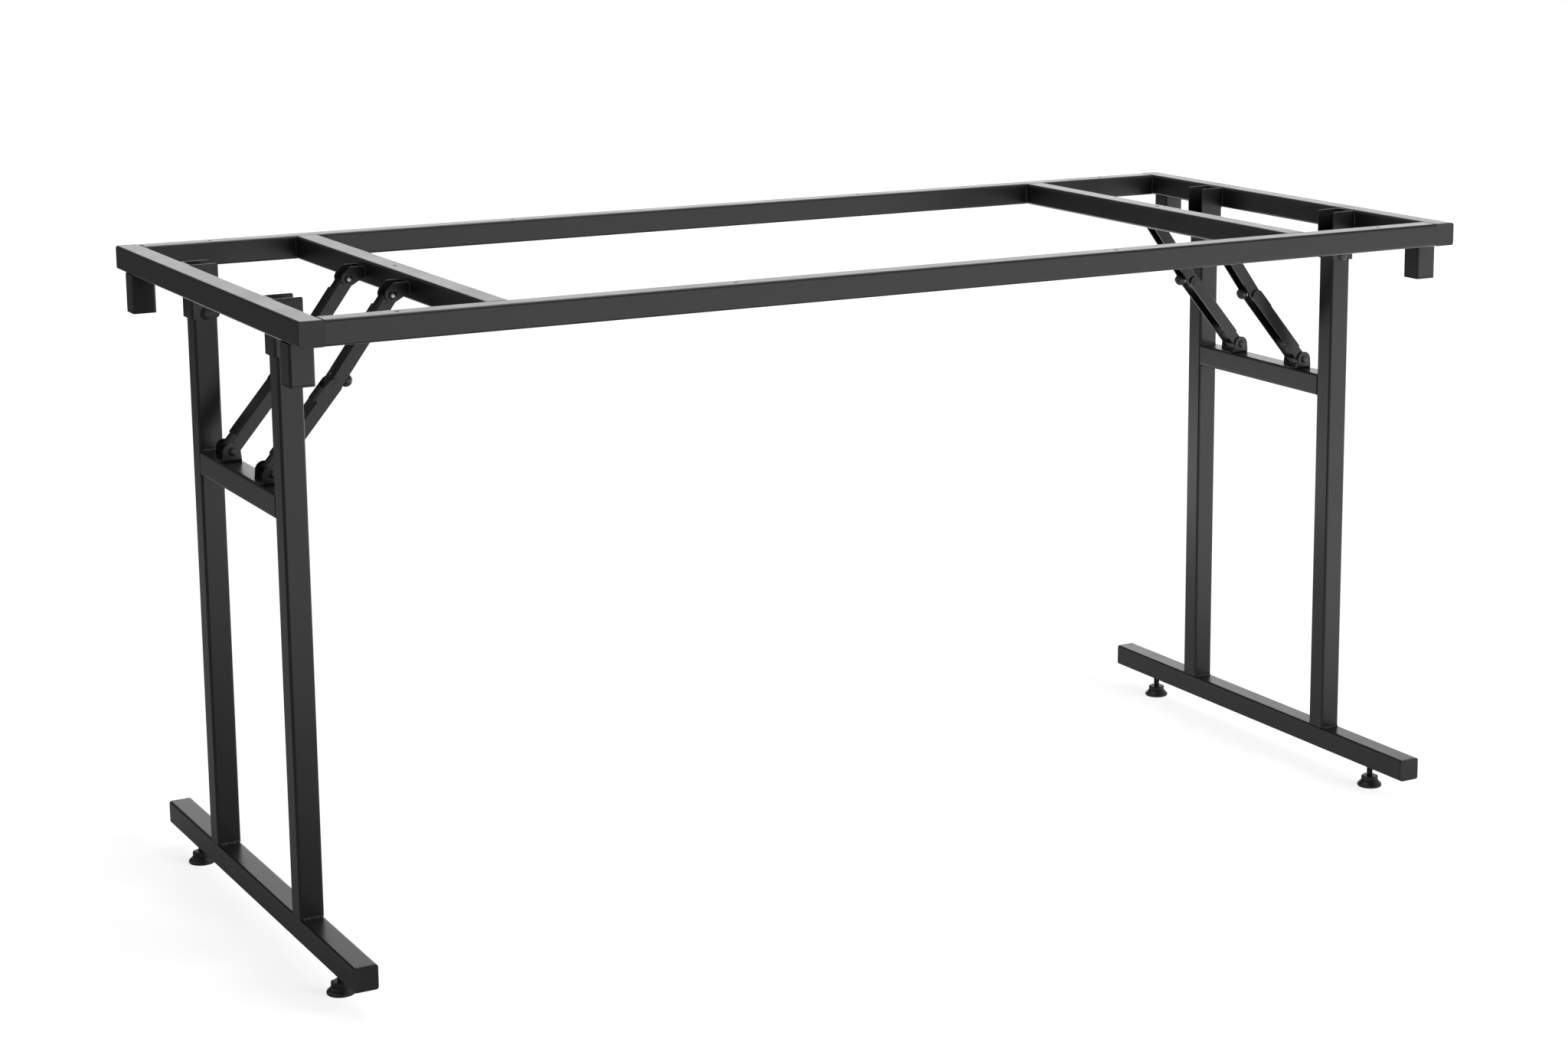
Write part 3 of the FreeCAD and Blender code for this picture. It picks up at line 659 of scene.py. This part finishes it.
# The ears are trimmed along two slanting lines that touch a circle about the pin.
for slant in (134, -60):
    side = Vector((math.cos(math.radians(slant)), 0, math.sin(math.radians(slant))))
    bpy.ops.mesh.select_all(action="SELECT")
    bpy.ops.mesh.bisect(plane_co=(UPPER_PIN + UPPER_EAR_R * side) * MM, plane_no=side,
                        clear_outer=True, use_fill=True)
# Each corner that this leaves is rounded on that circle, by the angle between its two sides.
ear_tip = UPPER_PIN.x - UPPER_EAR_R + 0.5
ear_foot = UPPER_PIN.z - UPPER_EAR_R + 0.5
for turn, is_corner in ((44, lambda middle: middle.x < ear_tip and middle.z > UPPER_PIN.z),
                        (90, lambda middle: middle.x < ear_tip and middle.z < ear_foot),
                        (30, lambda middle: middle.x > UPPER_PIN.x and middle.z < ear_foot)):
    round_edges(UPPER_EAR_R * math.tan(math.radians(turn / 2)), round(turn / 9),
                lambda middle, way: abs(way.y) > 0.9 and is_corner(middle))
close_rounds()
cut_away(lambda middle, way: way.x < 0.9 and abs(way.y) < 0.9)
round_edges(BRACKET_FOLD, 4, lambda middle, way: abs(way.z) > 0.9 and middle.x > CROSS_LOW.x - 1)
done()
four_quarters(sheet_metal(upper_bracket), "folded_stay_upper_bracket", "top_frame",
              "{corner}_stay_upper_bracket")

UPPER_BEAD = 2.3
upper_beads = []
for ear_y in (UPPER_PIN.y - UPPER_EAR, UPPER_PIN.y + UPPER_EAR):
    upper_beads.append(weld((CROSS_LOW.x - 0.4, ear_y, UPPER_PIN.z + 2),
                            (CROSS_LOW.x - 0.4, ear_y, UPPER_PIN.z + UPPER_RISE), UPPER_BEAD))
four_quarters(dress(join("upper_welds", upper_beads), coat), "stay_upper_welds", "top_frame")

# Steel, turned and left bare where the rivet was set: pale, with fine marks of handling about 0.9 mm wide.
MARK_WIDTH = 0.9
bare_steel, tree, place = new_material("steel_turned_bare")
marks = add_node(tree, "ShaderNodeTexNoise", values={"Scale": 1 / (MARK_WIDTH * MM), "Detail": 2.0},
                 links={"Vector": place})
tone = add_node(tree, "ShaderNodeValToRGB", links={"Fac": marks.outputs["Fac"]})
tone.color_ramp.elements[0].position = 0.3
tone.color_ramp.elements[0].color = linear("#8f8f8c")
tone.color_ramp.elements[1].position = 0.7
tone.color_ramp.elements[1].color = linear("#c9c8c4")
gloss = add_node(tree, "ShaderNodeMapRange", values={"To Min": 0.25, "To Max": 0.4},
                 links={"Value": marks.outputs["Fac"]})
shader = add_node(tree, "ShaderNodeBsdfPrincipled", values={"Metallic": 1.0},
                  links={"Base Color": tone.outputs["Color"], "Roughness": gloss.outputs["Result"]})
add_node(tree, "ShaderNodeOutputMaterial", links={"Surface": shader.outputs["BSDF"]})

PIN_R, PIN_HEAD_R, PIN_HEAD, BARE_DEPTH = 3, 5, 1.6, 0.12
upper_pin = rivet("upper_pin", PIN_R, 2 * UPPER_EAR, PIN_HEAD_R, PIN_HEAD, UPPER_PIN)
dress(upper_pin, coat, bare_steel)
bare_from = UPPER_EAR + PIN_HEAD - BARE_DEPTH
edit()
choose("FACE", lambda middle, way: abs(middle.y - UPPER_PIN.y) > bare_from)
upper_pin.active_material_index = 1
bpy.ops.object.material_slot_assign()
done()
upper_pins = four_in_one(upper_pin, "stay_upper_pins")
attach(upper_pins, "top_frame")
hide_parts("stay_upper_rivets")

# Stay lower brackets: the same kind of channel, standing on the leg crossbar with round ears.
# It is spot welded through its base, with a short bead at each end, and its pin is coated all over.
LOWER_PIN = joint_place("left_front_stay_lower_turn")
LOWER_EAR, LOWER_EAR_R, BASE_SPREAD = 15.4, 10, 1.12
lower_bracket = block("lower_bracket",
                      (LOWER_PIN.x - LOWER_EAR_R, LOWER_PIN.y - LOWER_EAR, CROSSBAR_HIGH.z),
                      LOWER_PIN + Vector((LOWER_EAR_R, LOWER_EAR, LOWER_EAR_R)))
edit()
round_edges(LOWER_EAR_R, 9, lambda middle, way: abs(way.y) > 0.9 and middle.z > LOWER_PIN.z)
close_rounds()
choose("VERT", lambda middle, way: middle.z < CROSSBAR_HIGH.z + 1)
bpy.ops.transform.resize(value=(BASE_SPREAD, 1, 1),
                         center_override=Vector((LOWER_PIN.x, LOWER_PIN.y, CROSSBAR_HIGH.z)) * MM)
cut_away(lambda middle, way: way.z > -0.9 and abs(way.y) < 0.9)
round_edges(BRACKET_FOLD, 4, lambda middle, way: abs(way.x) > 0.9 and middle.z < CROSSBAR_HIGH.z + 1)
done()
four_quarters(sheet_metal(lower_bracket), "folded_stay_lower_bracket", "{side}_leg",
              "{corner}_stay_lower_bracket")

LOWER_BEAD, LOWER_BEAD_HALF = 1.8, 10
lower_beads = []
for bead_x in (LOWER_PIN.x - 11.1, LOWER_PIN.x + 11.1):
    lower_beads.append(weld((bead_x, LOWER_PIN.y - LOWER_BEAD_HALF, CROSSBAR_HIGH.z + 0.2),
                            (bead_x, LOWER_PIN.y + LOWER_BEAD_HALF, CROSSBAR_HIGH.z + 0.2), LOWER_BEAD))
four_quarters(dress(join("lower_welds", lower_beads), coat), "stay_lower_welds", "{side}_leg")

lower_pin = dress(rivet("lower_pin", PIN_R, 2 * LOWER_EAR, PIN_HEAD_R, PIN_HEAD, LOWER_PIN), coat)
pair_on_each_leg(lower_pin, "stay_lower_pins", "stay_lower_rivets", flat_faced=False)

# Stay upper links: channels folded from 2 mm sheet, open below, with round ends about the pins.
# The web stops short of the upper pin, so that the link can swing between the bracket's ears.
# The middle hinge, where both links of a stay meet, lies a little below the line between their pins.
HINGE_DROP = 4
span = UPPER_PIN - LOWER_PIN
LINK = math.hypot(span.length / 2, HINGE_DROP)
lean = math.atan2(span.z, span.x)
kink = math.atan2(HINGE_DROP, span.length / 2)
UPPER_TURN = Matrix.Rotation(-lean - kink, 3, "Y")
UPPER_HALF, END_R, LINK_FOLD = 10.4, 8, 2.4
WEB_END, NECK_FROM, NECK_SLOPE, NECK_DEPTH = 18, 5.8, 0.8, 2.5


def folded_link(name, facing, half_width, fork=None):
    """A channel along X, from its bracket's pin at the origin to the hinge, on the side that it faces.

    Its web starts at WEB_END and runs to the end, or stops before the hinge by the length of a fork.
    Its flanges are cut lower between the pin and the web.
    """
    low_x, high_x = sorted((0, facing * LINK))
    web_stop = LINK - fork if fork else LINK + END_R
    cuts = [NECK_FROM, WEB_END - NECK_SLOPE, WEB_END] + ([web_stop] if fork else [])
    top = END_R - 0.1
    link = block(name, (low_x - END_R, -half_width, -END_R), (high_x + END_R, half_width, END_R))
    edit()
    round_edges(END_R, 8, lambda middle, way: abs(way.y) > 0.9)
    close_rounds()
    cut_away(lambda middle, way: way.z < 0.98 and abs(way.y) < 0.9)
    for cut in cuts:
        bpy.ops.mesh.select_all(action="SELECT")
        bpy.ops.mesh.bisect(plane_co=(facing * cut * MM, 0, 0), plane_no=(1, 0, 0))
    cut_away(lambda middle, way: way.z > 0.98 and not WEB_END < facing * middle.x < web_stop)
    choose("VERT", lambda middle, way: middle.z > top
           and NECK_FROM - 0.8 < facing * middle.x < WEB_END - 0.1)
    bpy.ops.transform.translate(value=(0, 0, -NECK_DEPTH * MM))
    round_edges(LINK_FOLD, 4, lambda middle, way: abs(way.x) > 0.9 and middle.z > top
                and WEB_END < facing * middle.x < web_stop)
    done()
    return sheet_metal(link)


upper_link = settle(folded_link("upper_link", -1, UPPER_HALF), UPPER_TURN, UPPER_PIN)
four_quarters(upper_link, "folded_upper_link", "{corner}_stay_upper", "{corner}_upper_link")

# Stay lower links: wider channels of the same sheet, whose upper end is a fork about the middle hinge.
# The upper link and its knob fold in between the flanges, so the web stops short of the hinge.
LOWER_HALF, FORK = 13, 27
LOWER_TURN = Matrix.Rotation(kink - lean, 3, "Y")
lower_link = settle(folded_link("lower_link", 1, LOWER_HALF, FORK), LOWER_TURN, LOWER_PIN)
four_quarters(lower_link, "folded_lower_link", "{corner}_stay_lower", "{corner}_lower_link")

# Middle hinges: one short steel rivet in each flange of the fork, level with the flange inside.
# The upper link turns on them between the flanges. Their heads are hammered nearly flat and coated.
HINGE_HEAD_R, HINGE_HEAD = 4, 0.45
hinge_outline = rivet_head(HINGE_HEAD_R, HINGE_HEAD) + [(PIN_R, 0), (PIN_R, -SHEET), (0, -SHEET)]
hinge_pin = smooth(lathe("hinge_pin", hinge_outline, 32), 40)
settle(dress(hinge_pin, coat), FACE_FRONT, (LINK, -LOWER_HALF, 0))
hinge_pins = join("hinge_pins", [hinge_pin, image(hinge_pin, "hinge_pin_image", False, True)])
settle(hinge_pins, LOWER_TURN, LOWER_PIN)
four_quarters(hinge_pins, "stay_hinge_pins", "{corner}_stay_lower", "{corner}_mid_rivets")

# Ball knobs: moulded phenolic balls with a short neck, riveted up through the web of the upper link.
# The mould leaves a fine parting ridge round the ball.
KNOB_X, KNOB_Z, KNOB_R = 12 - LINK, -11.5, 7.5
KNOB_NECK_R, WEB_UNDER, PARTING_RIDGE = 4.7, END_R - SHEET - 0.1, 0.12
ball = []
for angle in range(-90, 51, 5):
    radius = KNOB_R * math.cos(math.radians(angle)) + (PARTING_RIDGE if angle == 0 else 0)
    ball.append((max(radius, 0), KNOB_Z + KNOB_R * math.sin(math.radians(angle))))
neck = [(KNOB_NECK_R + 0.3, KNOB_Z + 6.6), (KNOB_NECK_R, KNOB_Z + 8),
        (KNOB_NECK_R, WEB_UNDER), (0, WEB_UNDER)]
knob = smooth(lathe("knob", ball + neck, 40), 40)

# Phenolic resin, compression moulded: deep black and glossy, with faint flow marks about 4 mm wide.
FLOW_WIDTH = 4
phenolic, tree, place = new_material("phenolic_moulded_black")
flow = add_node(tree, "ShaderNodeTexNoise",
                values={"Scale": 1 / (FLOW_WIDTH * MM), "Detail": 3.0, "Distortion": 1.5},
                links={"Vector": place})
tone = add_node(tree, "ShaderNodeValToRGB", links={"Fac": flow.outputs["Fac"]})
tone.color_ramp.elements[0].color = linear("#1c1c1d")
tone.color_ramp.elements[1].color = linear("#2b2b2c")
gloss = add_node(tree, "ShaderNodeMapRange", values={"To Min": 0.22, "To Max": 0.36},
                 links={"Value": flow.outputs["Fac"]})
shader = add_node(tree, "ShaderNodeBsdfPrincipled", values={"IOR": 1.6},
                  links={"Base Color": tone.outputs["Color"], "Roughness": gloss.outputs["Result"]})
add_node(tree, "ShaderNodeOutputMaterial", links={"Surface": shader.outputs["BSDF"]})
settle(dress(knob, phenolic), NO_TURN, (KNOB_X, 0, 0))
settle(knob, UPPER_TURN, UPPER_PIN)
four_quarters(knob, "ball_knob", "{corner}_stay_upper", "{corner}_knob")

# The end of the knob's rivet is set to a low dome on the web.
knob_rivet_outline = [(0, 9.4), (1.5, 9.3), (3, 9.0), (4.2, 8.5), (4.8, 8.1), (4.8, 7.9), (0, 7.9)]
knob_rivet = smooth(lathe("knob_rivet", knob_rivet_outline, 28), 40)
settle(dress(knob_rivet, coat), NO_TURN, (KNOB_X, 0, 0))
settle(knob_rivet, UPPER_TURN, UPPER_PIN)
four_quarters(knob_rivet, "knob_rivet", "{corner}_stay_upper")

# Studio: a pale seamless floor that looks white, soft boxes, and the camera of the photograph.
# The lit paper lies behind and right of the table, so its left end faces an unlit room and stays dark.


def room_light(tree, ambient, share):
    """The white room's strength: ambient on a matt face, share in a reflection, and 1 to the camera."""
    path = add_node(tree, "ShaderNodeLightPath")
    mirror = add_node(tree, "ShaderNodeMath", {"operation": "MAXIMUM"},
                      links={0: path.outputs["Is Glossy Ray"], 1: path.outputs["Is Transmission Ray"]})
    lit = add_node(tree, "ShaderNodeMix", values={"A": ambient},
                   links={"Factor": mirror.outputs[0], "B": share})
    return add_node(tree, "ShaderNodeMix", values={"B": 1.0},
                    links={"Factor": path.outputs["Is Camera Ray"], "A": lit.outputs[0]}).outputs[0]


bpy.ops.object.select_all(action="DESELECT")
bpy.ops.mesh.primitive_plane_add(size=24)
floor = bpy.context.object
floor.name = "floor"

# Matt white paper. What a reflection shows of it is lit right of an edge that slants away to the left,
# carries a painted shade close to the table, and fades in front of it and far behind it. Places here are in
# metres.
paper, tree, place = new_material("paper_matt_white")
reach = add_node(tree, "ShaderNodeVectorMath", {"operation": "LENGTH"}, links={0: place}).outputs["Value"]
spot = add_node(tree, "ShaderNodeSeparateXYZ", links={0: place})
behind = add_node(tree, "ShaderNodeMath", {"operation": "MAXIMUM"}, values={1: 0.0},
                  links={0: spot.outputs["Y"]})
edge = add_node(tree, "ShaderNodeMath", {"operation": "MULTIPLY_ADD"}, values={1: 0.2},
                links={0: behind.outputs[0], 2: spot.outputs["X"]})
lit = add_node(tree, "ShaderNodeMapRange",
               values={"From Min": -0.58, "From Max": -0.4, "To Min": 0.03, "To Max": 2.7},
               links={"Value": edge.outputs[0]})
# Painted shade: within about 1.5 m of the table the paper's glow in a reflection drops to 0.12, standing in
# for the table's shade on the floor.
painted_table_shade = add_node(tree, "ShaderNodeMapRange", values={"From Min": 0.85, "From Max": 1.5, "To Min": 0.12},
                links={"Value": reach})
front = add_node(tree, "ShaderNodeMapRange", values={"From Min": -1.5, "From Max": 0.5, "To Min": 0.44},
                 links={"Value": spot.outputs["Y"]})
far = add_node(tree, "ShaderNodeMapRange",
               values={"From Min": 1.7, "From Max": 2.7, "To Min": 1.0, "To Max": 0.0},
               links={"Value": spot.outputs["Y"]})
share = lit.outputs["Result"]
for limit in (painted_table_shade, front, far):
    share = add_node(tree, "ShaderNodeMath", {"operation": "MULTIPLY"},
                     links={0: share, 1: limit.outputs["Result"]}).outputs[0]
seen = room_light(tree, 0.0, share)
level = add_node(tree, "ShaderNodeMapRange", values={"From Min": 1.2, "From Max": 4.5, "To Min": 0.78},
                 links={"Value": reach})
glow = add_node(tree, "ShaderNodeMath", {"operation": "MULTIPLY"},
                links={0: seen, 1: level.outputs["Result"]})
white = add_node(tree, "ShaderNodeEmission", links={"Strength": glow.outputs[0]})
matt = add_node(tree, "ShaderNodeBsdfDiffuse", values={"Color": (0.4, 0.4, 0.4, 1)})
both = add_node(tree, "ShaderNodeAddShader", links={0: white.outputs[0], 1: matt.outputs[0]})
add_node(tree, "ShaderNodeOutputMaterial", links={"Surface": both.outputs[0]})
dress(floor, paper)

# The walls of the room: white to the camera, and in a reflection pale on the right and at the far left,
# dark between, and dimmer above.
world = bpy.data.worlds.new("studio")
bpy.context.scene.world = world
world.use_nodes = True
tree = world.node_tree
tree.nodes.clear()
way = add_node(tree, "ShaderNodeTexCoord").outputs["Generated"]
spot = add_node(tree, "ShaderNodeSeparateXYZ", links={0: way})
turn = add_node(tree, "ShaderNodeMapRange", values={"From Min": -1.0}, links={"Value": spot.outputs["X"]})
walls = add_node(tree, "ShaderNodeValToRGB", links={"Fac": turn.outputs["Result"]})
walls.color_ramp.elements[0].color = (0.9, 0.9, 0.9, 1)
for position, light in ((0.2, 0.9), (0.29, 0.12), (0.35, 0.02), (0.44, 0.05), (0.56, 1.0)):
    walls.color_ramp.elements.new(position).color = (light, light, light, 1)
height = add_node(tree, "ShaderNodeMapRange",
                  values={"From Min": 0.14, "From Max": 0.34, "To Min": 1.0, "To Max": 0.4},
                  links={"Value": spot.outputs["Z"]})
share = add_node(tree, "ShaderNodeMath", {"operation": "MULTIPLY"},
                 links={0: walls.outputs["Color"], 1: height.outputs["Result"]})
seen = room_light(tree, 0.18, share.outputs[0])
sky = add_node(tree, "ShaderNodeBackground", values={"Color": (1, 1, 1, 1)}, links={"Strength": seen})
add_node(tree, "ShaderNodeOutputWorld", links={"Surface": sky.outputs[0]})


def soft_box(name, place, aim, width, height, power, mirrored=True):
    """A lamp behind a rectangular diffuser, turned to its aim, with places and sizes in metres."""
    lamp = bpy.data.lights.new(name, "AREA")
    lamp.shape, lamp.size, lamp.size_y, lamp.energy = "RECTANGLE", width, height, power
    box = bpy.data.objects.new(name, lamp)
    bpy.context.scene.collection.objects.link(box)
    box.visible_camera = False
    box.visible_glossy = mirrored
    box.location = place
    box.rotation_euler = (Vector(aim) - Vector(place)).to_track_quat("-Z", "Y").to_euler()


soft_box("front_right_soft_box", (2.4, -3.6, 2.2), (0, 0, 0.4), 2.4, 2.4, 165, mirrored=False)
soft_box("overhead_soft_box", (0.4, 0.6, 3.4), (0, 0, 0.4), 3.0, 3.0, 50)
soft_box("rear_soft_box", (4.7, 9.0, 2.1), (0, 0, 0.7), 7.0, 1.8, 75)

CAMERA_DOWN, CAMERA_RIGHT = 10.755, 30.747
camera = bpy.data.cameras.new("camera")
camera.sensor_fit, camera.sensor_width = "HORIZONTAL", 36
camera.lens = 69.969
camera.shift_x, camera.shift_y = -0.10, -0.08
eye = bpy.data.objects.new("camera", camera)
bpy.context.scene.collection.objects.link(eye)
eye.location = (-1.7411, -3.2553, 1.2479)
eye.rotation_euler = (math.radians(90 - CAMERA_DOWN), 0, math.radians(-CAMERA_RIGHT))
bpy.context.scene.camera = eye
bpy.context.scene.view_settings.view_transform = "Standard"
